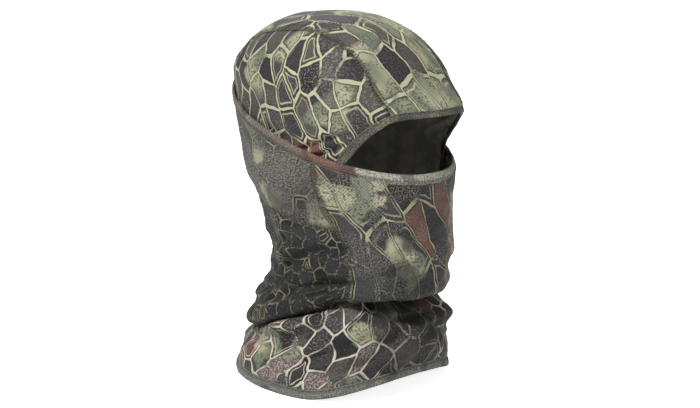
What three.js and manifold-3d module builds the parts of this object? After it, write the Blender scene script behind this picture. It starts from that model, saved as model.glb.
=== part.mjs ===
// A stretch balaclava in camouflage jersey, in the shape it takes when worn: a three-panel cap with a bound
// brow edge, an outer mask tube whose hemmed top edge crosses the nose, and a neck skirt with a bound bottom
// edge. The cap's lower half lies inside the mask tube.
// Millimetres. +Z is up, -Y is the way the wearer looks, +X is the wearer's left. The origin is on the
// resting plane, in the middle of the neck opening.
import * as THREE from "three";
import { mergeVertices } from "three/addons/utils/BufferGeometryUtils.js";
import Module from "manifold-3d";

const wasm = await Module();
wasm.setup();

// ---- Driving dimensions ----

// The worn shape, as level rings from below the bottom edge to the top of the head. half is half the width,
// mid is where the ring is widest, and front and back are the reaches from there. Every height in these
// dimensions is on the same scale, on which the bottom edge rests at RESTING_PLANE.
const FORM = [
  { z: -12, half: 84, mid: 3, front: 83, back: 97 }, // below the bottom edge, trimmed off
  { z: 0, half: 83, mid: 3, front: 84, back: 95 },
  { z: 27, half: 78.5, mid: 3, front: 85, back: 87 },
  { z: 47, half: 69, mid: 3, front: 92, back: 72 }, // bottom of the neck roll
  { z: 65, half: 69, mid: 3, front: 88, back: 80 }, // neck roll
  { z: 77, half: 63, mid: 3, front: 80.5, back: 70 },
  { z: 84, half: 61, mid: 3, front: 72, back: 64 }, // fold under the chin
  { z: 90, half: 57, mid: 3, front: 93.5, back: 58.5 },
  { z: 116, half: 59.5, mid: 3, front: 104.5, back: 56 }, // chin
  { z: 151, half: 65, mid: 8, front: 106, back: 61 }, // mouth
  { z: 178, half: 72, mid: 10, front: 107, back: 76.5 }, // nose tip
  { z: 197, half: 73, mid: 10, front: 100.5, back: 82 }, // nose bridge
  { z: 229, half: 77.5, mid: 10, front: 116.5, back: 87 }, // brow
  { z: 254, half: 77.5, mid: 10, front: 96, back: 94 },
  { z: 278, half: 63.5, mid: 10, front: 77, back: 82.5 },
  { z: 296, half: 39, mid: 8, front: 48.5, back: 56.5 },
  { z: 302.5, half: 22, mid: 7, front: 26.5, back: 31 },
  { z: 305, half: 0, mid: 6, front: 0, back: 0 }, // crown
];
const RESTING_PLANE = 6; // height at which the bottom edge rests, which becomes z = 0
const ROUNDNESS = 0.91; // power on sine and cosine: 1 is an ellipse, less is squarer
const COLUMNS = 36; // facets round a ring
const ROWS_PER_RING = 1; // facet rows between two rings of FORM

const FABRIC = 1.0; // thickness of one layer of jersey
const EDGE = 8; // width of the bindings and hems
const SEAM_GAP = 0.3; // from a seam line to each panel's edge
const SEAM_WIDTH = 4.5; // width of a flatlock seam's thread cover
const STITCH_WIDTH = 2.4; // width of the twin-needle rows that hold a hem

// Depths below the form's surface of each layer's outer and inner face. A minus depth stands proud.
const MASK_LAYER = [0, FABRIC];
const MASK_BINDING = [-0.7, 1.4];
const MASK_THREAD = [-0.8, -0.3];
const MASK_BINDING_THREAD = [-1.3, -0.8];
const CAP_LAYER = [3, 3 + FABRIC];
const CAP_BINDING = [2.5, 4.5];
const CAP_THREAD = [2, 2.5];
const CAP_BINDING_THREAD = [1.7, 2.2];

// Seam and edge lines. Side-view lines are [y, z] from front to back or top to bottom.
const MASK_EDGE_LINE = [[-125, 178], [-40, 198], [30, 222], [120, 256]];
const BAND_SEAM_LINE = [[-57, 139], [-13, 143], [47, 151], [110, 162]];
const FACE_SEAM_LINE = [[-32, 215], [-40, 158], [-56, 130], [-56, 100], [-55, 60]];
const SKIRT_SEAM_LINE = [[-125, 85], [-60, 83], [0, 65], [50, 47], [110, 41]]; // hidden in the neck fold
const BROW_LINE = [
  [-125, 228], [-99, 227], [-85, 218], [-73, 208], [-60, 193], [-56, 178], [-56, 160], [-56, 120],
];
const CROWN_SEAM_LINE = [[38, -130], [43, -40], [47, 40], [50, 130]]; // top view, [x, y]
const BASE_FLAT_FROM = -30; // behind this y the bottom edge lies on the resting plane
const BASE_RISE = 17; // how far the bottom edge has risen BASE_RISE_RUN further forward
const BASE_RISE_RUN = 53;
const BASE_RISE_POWER = 1.9;
const CAP_BOTTOM_TUCK = 2; // the cap's lower edge stops this far above the band seam
const TEMPLE_TOP = 184; // below this height the brow binding is behind the mask and is cut as its own piece
const STITCH_INSET = 1.2; // from a binding's sewn edge to its rows of stitches
const THREAD_END_GAP = 0.4; // where one seam's thread stops short of another's

const CENTRING = 0.2; // moves every piece back, so that the outline's middle is at y = 0
const FAR = 200; // outside the object on every side
const LINE_POINTS = 13; // points along a smoothed seam line

const COLOURS = {
  camo: new THREE.MeshStandardMaterial({ color: 0x55544a, roughness: 0.88, metalness: 0 }),
  mesh: new THREE.MeshStandardMaterial({ color: 0x4c4b46, roughness: 0.9, metalness: 0 }),
  binding: new THREE.MeshStandardMaterial({ color: 0x58584a, roughness: 0.9, metalness: 0 }),
  thread: new THREE.MeshStandardMaterial({ color: 0x4a4d3e, roughness: 0.75, metalness: 0 }),
};

// ---- The worn form ----

// A cubic through evenly spaced values that never overshoots them.
function smoothThrough(values) {
  const steps = values.slice(1).map((value, i) => value - values[i]);
  const slopes = values.map((_, i) => {
    if (i === 0) return steps[0];
    if (i === steps.length) return steps[i - 1];
    const product = steps[i - 1] * steps[i];
    return product > 0 ? (2 * product) / (steps[i - 1] + steps[i]) : 0;
  });
  return (t) => {
    const i = Math.min(Math.floor(t), steps.length - 1);
    const u = t - i;
    const bump = slopes[i] * u * (1 - u) ** 2 - slopes[i + 1] * u * u * (1 - u);
    return values[i] + steps[i] * u * u * (3 - 2 * u) + bump;
  };
}

const LAST_RING = FORM.length - 1;
const ringValue = Object.fromEntries(
  Object.keys(FORM[0]).map((key) => [key, smoothThrough(FORM.map((ring) => ring[key]))]),
);

const softPower = (value) => Math.sign(value) * Math.abs(value) ** ROUNDNESS;

// A point of the form: angle 0 is the front and turns towards +X, t counts rings from the bottom.
function formPoint(angle, t) {
  const facing = Math.cos(angle);
  const reach = facing > 0 ? ringValue.front(t) : ringValue.back(t);
  return new THREE.Vector3(
    ringValue.half(t) * softPower(Math.sin(angle)),
    ringValue.mid(t) - reach * softPower(facing),
    ringValue.z(t),
  );
}

function formNormal(angle, t) {
  const d = 0.02;
  if (t > LAST_RING - d) return new THREE.Vector3(0, 0, 1);
  const along = formPoint(angle + d, t).sub(formPoint(angle - d, t));
  const up = formPoint(angle, t + d).sub(formPoint(angle, Math.max(t - d, 0)));
  return along.cross(up).normalize();
}

// ---- Solids ----

function solidOf(geometry) {
  geometry.deleteAttribute("normal");
  geometry.deleteAttribute("uv");
  const merged = mergeVertices(geometry, 1e-4);
  const vertProperties = merged.attributes.position.array;
  const triVerts = new Uint32Array(merged.index.array);
  return new wasm.Manifold(new wasm.Mesh({ numProp: 3, vertProperties, triVerts }));
}

// The form as a solid, its surface moved inwards by depth. The crown is a single point.
function formSolid(depth) {
  const rows = LAST_RING * ROWS_PER_RING;
  const crown = rows * COLUMNS;
  const floor = crown + 1;
  const points = [];
  const addPoint = (angle, t) => {
    points.push(...formPoint(angle, t).addScaledVector(formNormal(angle, t), -depth));
  };
  for (let row = 0; row < rows; row++) {
    for (let column = 0; column < COLUMNS; column++) {
      addPoint((column / COLUMNS) * 2 * Math.PI, row / ROWS_PER_RING);
    }
  }
  addPoint(0, LAST_RING);
  points.push(0, FORM[0].mid, FORM[0].z);
  const faces = [];
  for (let column = 0; column < COLUMNS; column++) {
    const next = (column + 1) % COLUMNS;
    faces.push(floor, next, column);
    for (let row = 0; row < rows - 1; row++) {
      const a = row * COLUMNS + column;
      const b = row * COLUMNS + next;
      faces.push(a, b, b + COLUMNS, a, b + COLUMNS, a + COLUMNS);
    }
    faces.push(crown - COLUMNS + column, crown - COLUMNS + next, crown);
  }
  const geometry = new THREE.BufferGeometry();
  geometry.setAttribute("position", new THREE.Float32BufferAttribute(points, 3));
  geometry.setIndex(faces);
  return solidOf(geometry);
}

const layerCache = new Map();
function layer([outer, inner]) {
  const key = `${outer},${inner}`;
  if (!layerCache.has(key)) layerCache.set(key, formSolid(outer).subtract(formSolid(inner)));
  return layerCache.get(key);
}

// ---- Cutters: flat outlines pushed right through the object ----

const SIDE_VIEW = new THREE.Matrix4()
  .makeBasis(new THREE.Vector3(0, 1, 0), new THREE.Vector3(0, 0, 1), new THREE.Vector3(1, 0, 0))
  .setPosition(-FAR, 0, 0);
const TOP_VIEW = new THREE.Matrix4().makeTranslation(0, 0, -FAR);

function pushed(outline, view) {
  const shape = new THREE.Shape(outline.map(([a, b]) => new THREE.Vector2(a, b)));
  const geometry = new THREE.ExtrudeGeometry(shape, { depth: 3 * FAR, bevelEnabled: false });
  return solidOf(geometry.applyMatrix4(view));
}

function smoothLine(line) {
  const curve = new THREE.SplineCurve(line.map(([a, b]) => new THREE.Vector2(a, b)));
  return curve.getSpacedPoints(LINE_POINTS).map((point) => [point.x, point.y]);
}

// A line moved sideways, to the left of the way it runs.
function beside(line, distance) {
  return line.map((point, i) => {
    const [before, after] = [line[Math.max(i - 1, 0)], line[Math.min(i + 1, line.length - 1)]];
    const run = new THREE.Vector2(after[0] - before[0], after[1] - before[1]).normalize();
    return [point[0] - run.y * distance, point[1] + run.x * distance];
  });
}

// The strip along a seam that its thread covers.
const seamCover = (line, view) =>
  pushed([...beside(line, -SEAM_WIDTH / 2), ...beside(line, SEAM_WIDTH / 2).reverse()], view);

// Everything above a side-view line that runs from front to back.
const above = (line) =>
  pushed([...line, [FAR, line.at(-1)[1]], [FAR, 2 * FAR], [-FAR, 2 * FAR], [-FAR, line[0][1]]], SIDE_VIEW);
const raised = (line, up) => above(line.map(([y, z]) => [y, z + up]));

// Everything behind a side-view line that runs from top to bottom.
function behind(line) {
  const [top, bottom] = [line[0][0], line.at(-1)[0]];
  return pushed([[top, 2 * FAR], ...line, [bottom, -FAR], [FAR, -FAR], [FAR, 2 * FAR]], SIDE_VIEW);
}

// Everything above and behind the brow edge, or a line beside it.
function capSide(inset) {
  const line = beside(browEdge, inset);
  return pushed([...line, [FAR, line.at(-1)[1]], [FAR, 2 * FAR], [line[0][0], 2 * FAR]], SIDE_VIEW);
}

// Everything between a top-view line that runs from front to back and the +X side.
const outwards = (line) => pushed([...line, [FAR, line.at(-1)[1]], [FAR, line[0][1]]].reverse(), TOP_VIEW);

const boxBetween = (low, high) => {
  const [width, depth, height] = high.map((value, i) => value - low[i]);
  const [x, y, z] = high.map((value, i) => (value + low[i]) / 2);
  return solidOf(new THREE.BoxGeometry(width, depth, height).translate(x, y, z));
};

// ---- Lines and zones the panels share ----

const maskEdge = smoothLine(MASK_EDGE_LINE);
const bandSeam = smoothLine(BAND_SEAM_LINE);
const faceSeam = smoothLine(FACE_SEAM_LINE);
const skirtSeam = smoothLine(SKIRT_SEAM_LINE);
const browEdge = smoothLine(BROW_LINE);
const crownSeam = smoothLine(CROWN_SEAM_LINE);
const baseEdge = Array.from({ length: LINE_POINTS }, (_, i) => {
  const y = -FAR / 2 + ((BASE_FLAT_FROM + FAR / 2) * i) / (LINE_POINTS - 1);
  return [y, RESTING_PLANE + BASE_RISE * ((BASE_FLAT_FROM - y) / BASE_RISE_RUN) ** BASE_RISE_POWER];
});

const rightOf = (x) => boxBetween([-FAR, -FAR, -FAR], [x, FAR, 2 * FAR]);
const aboveTemple = (up) => boxBetween([-FAR, -FAR, TEMPLE_TOP + up], [FAR, FAR, 2 * FAR]);
const aboveCapBottom = raised(bandSeam, CAP_BOTTOM_TUCK);
const THREAD_RIM = EDGE + 2 * SEAM_GAP; // seam threads stop this far inside an edge
const betweenHems = (rim) => raised(baseEdge, rim).subtract(raised(maskEdge, -rim));

// ---- The mask tube and the neck skirt ----

const tube = layer(MASK_LAYER).intersect(betweenHems(EDGE + SEAM_GAP));
const upperTube = tube.intersect(raised(skirtSeam, SEAM_GAP));
const backOfTube = upperTube.intersect(behind(beside(faceSeam, SEAM_GAP))).intersect(rightOf(-SEAM_GAP));
const facePanel = upperTube.subtract(behind(beside(faceSeam, -SEAM_GAP)));
const earBand = backOfTube.intersect(raised(bandSeam, SEAM_GAP));
const neckPanel = backOfTube.subtract(raised(bandSeam, -SEAM_GAP));
const backSeamGap = boxBetween([-SEAM_GAP, 0, -FAR], [SEAM_GAP, FAR, FAR]);
const neckSkirt = tube.subtract(raised(skirtSeam, -SEAM_GAP)).subtract(backSeamGap);
const maskHem = layer(MASK_BINDING).intersect(raised(maskEdge, -EDGE)).subtract(above(maskEdge));
const bottomBinding = layer(MASK_BINDING).intersect(above(baseEdge)).subtract(raised(baseEdge, EDGE));

// ---- The cap ----

const cap = layer(CAP_LAYER).intersect(aboveCapBottom).intersect(capSide(EDGE + SEAM_GAP));
const leftSide = cap.intersect(outwards(beside(crownSeam, -SEAM_GAP)));
const leftCut = outwards(beside(crownSeam, SEAM_GAP));
const crownCenterPanel = cap.subtract(leftCut).subtract(mirrored(leftCut));
const crownSidePanel = mirrored(leftSide);
const faceBinding = layer(CAP_BINDING)
  .intersect(aboveCapBottom)
  .intersect(capSide(0))
  .subtract(capSide(EDGE));
const browBinding = faceBinding.intersect(aboveTemple(SEAM_GAP));
const cheekBinding = faceBinding.subtract(aboveTemple(-SEAM_GAP)).intersect(rightOf(0));

// ---- Threads: each seam's cover and each hem's rows of stitches, as one thin raised strip ----

const insideHems = betweenHems(THREAD_RIM);
const besideSeam = SEAM_WIDTH / 2 + THREAD_END_GAP;
const stitchRow = (zoneAt, inset) => zoneAt(inset).subtract(zoneAt(inset + STITCH_WIDTH));
const maskThreads = layer(MASK_THREAD).intersect(insideHems);
const hemThreads = layer(MASK_BINDING_THREAD);

const crownSeamThread = layer(CAP_THREAD)
  .intersect(mirrored(seamCover(crownSeam, TOP_VIEW)))
  .intersect(aboveCapBottom)
  .intersect(capSide(THREAD_RIM));
const faceSeamThread = maskThreads
  .intersect(seamCover(faceSeam, SIDE_VIEW))
  .intersect(raised(skirtSeam, besideSeam))
  .intersect(rightOf(0));
const bandSeamThread = maskThreads
  .intersect(seamCover(bandSeam, SIDE_VIEW))
  .intersect(behind(beside(faceSeam, besideSeam)))
  .intersect(rightOf(-besideSeam));
const backSeamThread = maskThreads
  .intersect(boxBetween([-SEAM_WIDTH / 2, 0, -FAR], [SEAM_WIDTH / 2, FAR, 2 * FAR]))
  .intersect(raised(skirtSeam, besideSeam));
const skirtBackSeamThread = maskThreads
  .intersect(boxBetween([-SEAM_WIDTH / 2, 0, -FAR], [SEAM_WIDTH / 2, FAR, 2 * FAR]))
  .subtract(raised(skirtSeam, -besideSeam));
const skirtSeamThread = maskThreads
  .intersect(raised(skirtSeam, -SEAM_WIDTH / 2))
  .subtract(raised(skirtSeam, SEAM_WIDTH / 2));
const browStitching = layer(CAP_BINDING_THREAD)
  .intersect(stitchRow(capSide, EDGE - STITCH_INSET - STITCH_WIDTH))
  .intersect(aboveTemple(EDGE + STITCH_WIDTH));
const maskHemStitching = hemThreads.intersect(
  stitchRow((up) => raised(maskEdge, up), STITCH_INSET - EDGE),
);
const bottomStitching = hemThreads.intersect(
  stitchRow((up) => raised(baseEdge, up), EDGE - STITCH_INSET - STITCH_WIDTH),
);

// ---- Assembly ----

function mirrored(solid) {
  return solid.mirror([1, 0, 0]);
}

function meshOf(name, solid, material) {
  const source = solid.getMesh();
  const geometry = new THREE.BufferGeometry();
  geometry.setAttribute("position", new THREE.BufferAttribute(source.vertProperties, 3));
  geometry.setIndex(new THREE.BufferAttribute(source.triVerts, 1));
  geometry.translate(0, CENTRING, -RESTING_PLANE);
  geometry.computeVertexNormals();
  const mesh = new THREE.Mesh(geometry, material);
  mesh.name = name;
  return mesh;
}

const balaclava = new THREE.Group();
const single = (name, solid, material) => balaclava.add(meshOf(name, solid, material));

// A piece modelled on the wearer's right, and its twin on the left.
function pair(name, solid, material) {
  const right = meshOf(`${name}_right`, solid, material);
  const left = right.clone();
  left.name = `${name}_left`;
  left.scale.x = -1;
  balaclava.add(right, left);
}

single("crown_center_panel", crownCenterPanel, COLOURS.camo);
pair("crown_side_panel", crownSidePanel, COLOURS.camo);
single("brow_binding", browBinding, COLOURS.binding);
pair("cheek_binding", cheekBinding, COLOURS.binding);
single("mask_hem", maskHem, COLOURS.binding);
single("face_panel", facePanel, COLOURS.mesh);
single("neck_skirt", neckSkirt, COLOURS.camo);
pair("ear_band", earBand, COLOURS.camo);
pair("neck_panel", neckPanel, COLOURS.camo);
single("bottom_binding", bottomBinding, COLOURS.binding);
pair("crown_seam_thread", crownSeamThread, COLOURS.thread);
pair("face_seam_thread", faceSeamThread, COLOURS.thread);
pair("band_seam_thread", bandSeamThread, COLOURS.thread);
single("back_seam_thread", backSeamThread, COLOURS.thread);
single("skirt_seam_thread", skirtSeamThread, COLOURS.thread);
single("skirt_back_seam_thread", skirtBackSeamThread, COLOURS.thread);
single("brow_stitching", browStitching, COLOURS.thread);
single("mask_hem_stitching", maskHemStitching, COLOURS.thread);
single("bottom_stitching", bottomStitching, COLOURS.thread);

export default balaclava;
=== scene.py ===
"""Looks for a stretch camouflage balaclava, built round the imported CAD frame.

Lengths are in millimetres until a mesh is made, then metres. Angles round the form are 0 at the face (-Y)
and grow towards +X. Heights in the tables are on the CAD source's scale, 6 mm above the resting plane's.
"""
import math

import bmesh
import bpy
import numpy as np
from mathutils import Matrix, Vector


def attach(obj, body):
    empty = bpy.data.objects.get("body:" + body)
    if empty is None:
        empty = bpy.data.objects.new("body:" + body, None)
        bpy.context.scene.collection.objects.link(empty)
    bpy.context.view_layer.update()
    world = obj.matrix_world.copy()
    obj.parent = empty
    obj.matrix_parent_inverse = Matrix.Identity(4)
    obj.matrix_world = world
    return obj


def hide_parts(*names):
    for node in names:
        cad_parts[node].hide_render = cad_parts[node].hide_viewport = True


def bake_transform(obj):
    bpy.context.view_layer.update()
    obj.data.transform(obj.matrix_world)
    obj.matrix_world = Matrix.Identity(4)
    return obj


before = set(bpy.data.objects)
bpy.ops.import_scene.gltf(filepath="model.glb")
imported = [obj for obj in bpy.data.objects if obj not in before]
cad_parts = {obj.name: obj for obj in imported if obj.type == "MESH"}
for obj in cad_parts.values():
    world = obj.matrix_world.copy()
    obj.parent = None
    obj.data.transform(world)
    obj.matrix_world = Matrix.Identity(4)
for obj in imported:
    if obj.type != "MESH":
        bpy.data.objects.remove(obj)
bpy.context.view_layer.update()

# ---------------------------------------------------------------- the worn form

# z, half width, y of the widest point, reach to the front, reach to the back
RINGS = np.array([
    (-12, 84, 3, 83, 97), (0, 83, 3, 84, 95), (27, 78.5, 3, 85, 87), (47, 69, 3, 92, 72), (65, 69, 3, 88, 80),
    (77, 63, 3, 80.5, 70), (84, 61, 3, 72, 64), (90, 57, 3, 93.5, 58.5), (116, 59.5, 3, 104.5, 56),
    (151, 65, 8, 106, 61), (178, 72, 10, 107, 76.5), (197, 73, 10, 100.5, 82), (229, 77.5, 10, 116.5, 87),
    (254, 77.5, 10, 96, 94), (278, 63.5, 10, 77, 82.5), (296, 39, 8, 48.5, 56.5), (302.5, 22, 7, 26.5, 31),
    (305, 0, 6, 0, 0),
], float)
ROUNDNESS = 0.91
CENTRING = 0.2  # how far back the tables' shape is moved, so that its outline is centred
RESTING_PLANE = 6.0  # the height, on the tables' scale, at which the bottom edge rests
TOP = RINGS[-1, 0]
SKULL = np.array([0.0, 9.0, 205.0])  # the point the cap is laid out from

EDGE = 8.0  # width of the bindings and hems
UNDER_BINDING = 0.6  # how far the tube's cloth runs in under a binding
UNDER_BROW = 2.4  # and the cap's
CAP_DEPTH = 3.0  # how far the cap lies inside the form, under the mask tube
CLOTH = 0.8  # visible thickness of one layer
MM = 0.001

SIDES = (("right", -1), ("left", 1))  # the wearer's sides, and the sign of x there

# Side-view lines, as (y, z).
MASK_EDGE = np.array([(-125, 178), (-40, 198), (30, 222), (120, 256)], float)
BAND_SEAM = np.array([(-57, 139), (-13, 143), (47, 151), (110, 162)], float)
FACE_SEAM = np.array([(-32, 215), (-40, 158), (-56, 130), (-56, 100), (-55, 60)], float)
SKIRT_SEAM = np.array([(-125, 85), (-60, 83), (0, 65), (50, 47), (110, 41)], float)
BROW = np.array([(-125, 228), (-99, 227), (-85, 218), (-73, 208), (-60, 193), (-56, 178), (-56, 160),
                 (-56, 120)], float)
# The crown seam from above, as (x, y) on the left.
CROWN_SEAM = np.array([(38, -130), (43, -40), (47, 40), (50, 130)], float)
# The bottom edge is level behind BASE_FLAT_FROM and rises in front of it.
BASE_FLAT_FROM, BASE_RISE, BASE_RISE_RUN, BASE_RISE_POWER = -30.0, 17.0, 53.0, 1.9
TEMPLE_TOP = 184.0  # where the brow binding's node ends and the cheek binding's starts


def harmonic_table(values, fine):
    """A cubic through evenly spaced values that never overshoots, sampled at the numbers in fine."""
    steps = np.diff(values)
    slopes = np.zeros(len(values))
    slopes[0], slopes[-1] = steps[0], steps[-1]
    product = steps[:-1] * steps[1:]
    total = steps[:-1] + steps[1:]
    inner = product > 0
    slopes[1:-1][inner] = 2 * product[inner] / total[inner]
    i = np.clip(fine.astype(int), 0, len(steps) - 1)
    u = fine - i
    bump = slopes[i] * u * (1 - u) ** 2 - slopes[i + 1] * u * u * (1 - u)
    return values[i] + steps[i] * u * u * (3 - 2 * u) + bump


# The rings are mirrored past the crown, so that the top is level there.
mirrored = RINGS[-2:-4:-1] * np.array([-1, -1, 1, -1, -1]) + np.array([2 * TOP, 0, 0, 0, 0])
all_rings = np.vstack([RINGS, mirrored])
fine_rows = np.linspace(0, len(RINGS) - 1, 6000)
TABLE = np.stack([harmonic_table(all_rings[:, k], fine_rows) for k in range(5)])


def ring(z):
    """half, mid, front, back at a height."""
    return [np.interp(z, TABLE[0], TABLE[k]) for k in range(1, 5)]


def unit(v):
    """Directions with their length taken out."""
    return v / np.maximum(np.linalg.norm(v, axis=-1, keepdims=True), 1e-9)


def lengths_along(path):
    """How far along a path each of its points lies."""
    return np.concatenate([[0], np.cumsum(np.linalg.norm(np.diff(path, axis=0), axis=1))])


def soft_power(v):
    return np.sign(v) * np.abs(v) ** ROUNDNESS


def form(angle, z):
    half, mid, front, back = ring(z)
    facing = np.cos(angle)
    reach = np.where(facing > 0, front, back)
    return np.stack([half * soft_power(np.sin(angle)), mid - reach * soft_power(facing), z + 0 * angle], -1)


def inside(p):
    """Below 0 inside the form, 0 on it and above 0 outside."""
    z = p[..., 2]
    half, mid, front, back = ring(np.clip(z, RINGS[0, 0], TOP))
    y = p[..., 1] - mid
    reach = np.where(y < 0, front, back)
    n = 2 / ROUNDNESS
    small = 1e-3
    value = (np.abs(p[..., 0]) / np.maximum(half, small)) ** n + (np.abs(y) / np.maximum(reach, small)) ** n - 1
    return np.where(z >= TOP, 10.0, value)


FAR = 260.0  # longer than any line inside the form
HALVINGS = 38


def cast(origin, direction):
    """Where rays from inside leave the form."""
    low = np.zeros(direction.shape[:-1])
    high = np.full(direction.shape[:-1], FAR)
    for _ in range(HALVINGS):
        middle = (low + high) / 2
        out = inside(origin + direction * middle[..., None]) > 0
        high = np.where(out, middle, high)
        low = np.where(out, low, middle)
    return origin + direction * ((low + high) / 2)[..., None]


def onto_form(p):
    """Points moved along the line from the skull's middle until they lie on the form."""
    return cast(SKULL, unit(p - SKULL))


def form_normal(p):
    """Outward normals of the form, from its slope over a short span."""
    d = 0.6
    return unit(np.stack([inside(p + d * e) - inside(p - d * e) for e in np.eye(3)], -1))


def spline(points, count=160):
    """A uniform Catmull-Rom line through the points."""
    n = len(points) - 1
    t = np.linspace(0, n, count)
    i = np.minimum(t.astype(int), n - 1)
    u = (t - i)[:, None]
    at = lambda k: points[np.clip(k, 0, n)]
    p0, p1, p2, p3 = at(i - 1), at(i), at(i + 1), at(i + 2)
    v0, v1 = (p2 - p0) / 2, (p3 - p1) / 2
    return (2 * p1 - 2 * p2 + v0 + v1) * u ** 3 + (-3 * p1 + 3 * p2 - 2 * v0 - v1) * u ** 2 + v0 * u + p1


mask_line, band_line, face_line = spline(MASK_EDGE), spline(BAND_SEAM), spline(FACE_SEAM)
skirt_line, brow_line, crown_line = spline(SKIRT_SEAM), spline(BROW), spline(CROWN_SEAM)


def along_y(line, y):
    return np.interp(y, line[:, 0], line[:, 1])


def crown_x(y):
    return np.interp(y, crown_line[:, 1], crown_line[:, 0])


def face_y(z):
    return np.interp(z, face_line[::-1, 1], face_line[::-1, 0])


def base_z(y):
    return RESTING_PLANE + BASE_RISE * (np.maximum(BASE_FLAT_FROM - y, 0) / BASE_RISE_RUN) ** BASE_RISE_POWER


def height_on(line_z, angle):
    """The height at which the form crosses a side-view line, at each angle, by repeated correction."""
    z = np.full(np.shape(angle), 120.0)
    for _ in range(40):
        z = 0.4 * z + 0.6 * line_z(form(angle, z)[..., 1])
    return z


ANGLES = np.linspace(-math.pi, math.pi, 1441)
LINE_TABLES = {"base": height_on(base_z, ANGLES)}
for name, line in (("mask", mask_line), ("band", band_line), ("skirt", skirt_line)):
    LINE_TABLES[name] = height_on(lambda y: along_y(line, y), ANGLES)


def edge_z(name, angle):
    wrapped = (angle + math.pi) % (2 * math.pi) - math.pi
    return np.interp(wrapped, ANGLES, LINE_TABLES[name])


# ---------------------------------------------------------------- folds


def ripple(a, b, size, seed, octaves=3):
    """Smooth seeded waves of about the given size over two lengths in mm, from -1 to 1."""
    waves = np.random.default_rng(seed)
    total, weight, norm = 0.0, 1.0, 0.0
    for _ in range(octaves):
        for _ in range(5):
            turn, phase = waves.uniform(0, math.pi), waves.uniform(0, 2 * math.pi)
            k = 2 * math.pi / (size * waves.uniform(0.75, 1.4))
            total = total + weight * np.sin(k * (a * math.cos(turn) + b * math.sin(turn)) + phase)
        norm += weight * 2.2
        weight *= 0.5
        size *= 0.5
    return total / norm


def bell(x):
    return np.exp(-x * x)


def step(x, low, high):
    t = np.clip((x - low) / (high - low), 0, 1)
    return t * t * (3 - 2 * t)


def crease(a, b, start, end, width, depth, bow=0.0):
    """A fold line from start to end in (a, b) millimetres: a valley with a soft ridge on each side."""
    start, end = np.array(start, float), np.array(end, float)
    run = end - start
    length = np.linalg.norm(run)
    run = run / length
    da, db = a - start[0], b - start[1]
    s = (da * run[0] + db * run[1]) / length
    off = -da * run[1] + db * run[0] - bow * 4 * s * (1 - s)
    taper = step(s, -0.25, 0.2) * (1 - step(s, 0.8, 1.25))
    shape = -bell(off / width) + 0.55 * bell((off - 2.1 * width) / (1.3 * width))
    return depth * taper * (shape + 0.35 * bell((off + 2.2 * width) / (1.4 * width)))


AROUND = 66.0  # mm of cloth per radian round the neck, for laying out folds

# Creases on the wearer's right, each mirrored on the left: (start round, start z, end round, end z) in mm,
# how far the left one's start and end are higher, as parts of its shift, then width, depth and bow.
LEFT_SHIFT = 3.0
TUBE_CREASES = [
    ((66, 44, 84, 31), (1, 0), 3.4, 3.4, 1.5),
    ((8, 64, 46, 36), (-1, 1), 6.5, 5.2, 3),
    ((32, 64, 62, 48), (0, -1), 4.5, 3.6, -2),
    ((84, 56, 118, 28), (-1, 0), 5.5, 3.8, 3),
    ((120, 44, 158, 26), (0, 1), 6.5, 3.4, 4),
    ((70, 125, 112, 100), (0, 1), 4.2, 3.8, 3),
    ((66, 113, 92, 112), (1, 0), 2.8, 1.3, -2),
    ((104, 92, 150, 78), (0, 1), 4.6, 3.6, -3),
    ((92, 128, 150, 112), (0, 0), 5.0, 2.8, 3),
    ((26, 112, 56, 96), (0, 0), 6.0, 1.3, 2),
]
CAP_CREASES = [  # the same on the cap, with y in place of the length round
    ((-24, 200, -66, 215), (1, 0), 2.0, 3.0, -1.5),
    ((-36, 197, -64, 210), (0, -1), 1.6, 2.2, 1.0),
    ((10, 214, -24, 208), (0, 1), 4, 0.9, 2),
    ((52, 240, 12, 226), (0, 0), 5, 0.8, -2),
]


def creases(table, along, z, shift):
    """The creases of a table added up, with their marked ends raised by shift."""
    total = 0.0
    for (a0, z0, a1, z1), (up0, up1), width, depth, bow in table:
        total = total + crease(along, z, (a0, z0 + up0 * shift), (a1, z1 + up1 * shift), width, depth, bow)
    return total


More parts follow.
